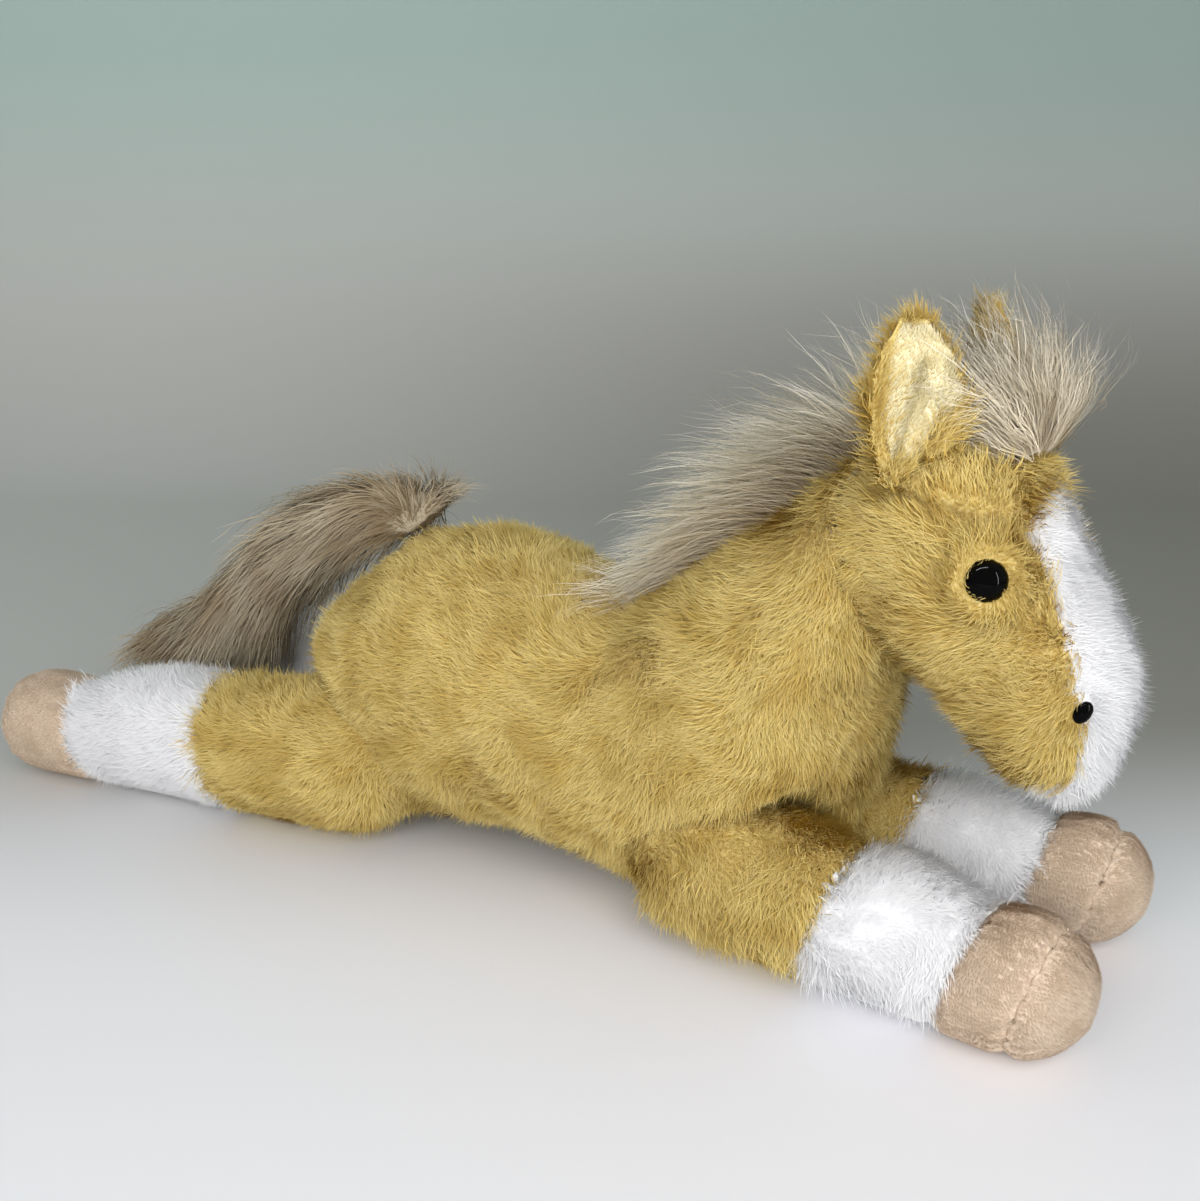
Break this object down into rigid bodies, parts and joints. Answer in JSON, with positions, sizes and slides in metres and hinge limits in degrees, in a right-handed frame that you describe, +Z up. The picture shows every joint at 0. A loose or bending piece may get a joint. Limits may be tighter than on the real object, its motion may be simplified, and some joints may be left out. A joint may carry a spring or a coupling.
{
  "type": "plush horse",
  "caption": "Plush horse lying on its belly, of sewn fur covers over stuffing, with velour hooves, long hair on crest, crown and tail, button eyes, and limbs that lift at their seams.",
  "frame": {"origin": "on the floor, midway between the tips of the fore hooves and the tips of the hind hooves", "axes": "+X towards the nose, +Y to the horse's left, +Z up"},
  "size_m": [0.4499, 0.1574, 0.2043],
  "materials": {
    "gold_fur": "golden faux fur, about 10 mm pile",
    "white_fur": "white faux fur, about 10 mm pile",
    "hoof_velour": "tan short pile velour",
    "ear_velour": "pale short pile velour",
    "long_hair": "taupe and cream long pile, 30 to 40 mm",
    "stuffing": "polyester fibre filling",
    "black_gloss": "polished black",
    "lock_plastic": "natural polypropylene"
  },
  "bodies": {
    "trunk": {"barrel_cover": "gold_fur", "chest_neck_cover": "gold_fur", "trunk_stuffing": "stuffing", "mane": "long_hair"},
    "head": {"head_cover": "gold_fur", "blaze_panel": "white_fur", "head_stuffing": "stuffing", "eye_right": "black_gloss", "eye_left": "black_gloss", "eye_washer_right": "lock_plastic", "eye_washer_left": "lock_plastic", "nostril_right": "black_gloss", "nostril_left": "black_gloss", "forelock": "long_hair"},
    "ear_right": {"ear_right": "gold_fur", "ear_lining_right": "ear_velour"},
    "ear_left": {"ear_left": "gold_fur", "ear_lining_left": "ear_velour"},
    "tail": {"tail": "long_hair"},
    "foreleg_right": {"foreleg_right_cover": "gold_fur", "foreleg_right_sock": "white_fur", "foreleg_right_hoof": "hoof_velour", "foreleg_right_sole": "hoof_velour", "foreleg_right_stuffing": "stuffing"},
    "foreleg_left": {"foreleg_left_cover": "gold_fur", "foreleg_left_sock": "white_fur", "foreleg_left_hoof": "hoof_velour", "foreleg_left_sole": "hoof_velour", "foreleg_left_stuffing": "stuffing"},
    "hindleg_right": {"hindleg_right_cover": "gold_fur", "hindleg_right_sock": "white_fur", "hindleg_right_hoof": "hoof_velour", "hindleg_right_sole": "hoof_velour", "hindleg_right_stuffing": "stuffing"},
    "hindleg_left": {"hindleg_left_cover": "gold_fur", "hindleg_left_sock": "white_fur", "hindleg_left_hoof": "hoof_velour", "hindleg_left_sole": "hoof_velour", "hindleg_left_stuffing": "stuffing"}
  },
  "joints": [
    {"name": "head_nod", "type": "hinge", "parent": "trunk", "child": "head", "pos_m": [0.15589, 0, 0.13338], "axis": [0, -1, 0], "range_deg": [-6, 12], "stiffness_Nm_per_rad": 1},
    {"name": "ear_fold_right", "type": "hinge", "parent": "head", "child": "ear_right", "pos_m": [0.1593, -0.02914, 0.16319], "axis": [0.7314, 0.682, 0], "range_deg": [-20, 25], "stiffness_Nm_per_rad": 0.05},
    {"name": "ear_fold_left", "type": "hinge", "parent": "head", "child": "ear_left", "pos_m": [0.1593, 0.02914, 0.16319], "axis": [-0.7314, 0.682, 0], "range_deg": [-20, 25], "stiffness_Nm_per_rad": 0.05},
    {"name": "tail_lift", "type": "hinge", "parent": "trunk", "child": "tail", "pos_m": [-0.03598, 0, 0.10713], "axis": [0, 1, 0], "range_deg": [0, 35]},
    {"name": "foreleg_lift_right", "type": "hinge", "parent": "trunk", "child": "foreleg_right", "pos_m": [0.10085, -0.028, 0.0255], "axis": [0, -1, 0], "range_deg": [0, 16], "stiffness_Nm_per_rad": 0.5},
    {"name": "foreleg_lift_left", "type": "hinge", "parent": "trunk", "child": "foreleg_left", "pos_m": [0.10085, 0.028, 0.0255], "axis": [0, -1, 0], "range_deg": [0, 16], "stiffness_Nm_per_rad": 0.5},
    {"name": "hindleg_lift_right", "type": "hinge", "parent": "trunk", "child": "hindleg_right", "pos_m": [-0.04861, -0.0315, 0.029], "axis": [0, 1, 0], "range_deg": [0, 14], "stiffness_Nm_per_rad": 0.5},
    {"name": "hindleg_lift_left", "type": "hinge", "parent": "trunk", "child": "hindleg_left", "pos_m": [-0.04861, 0.0315, 0.029], "axis": [0, 1, 0], "range_deg": [0, 14], "stiffness_Nm_per_rad": 0.5}
  ]
}
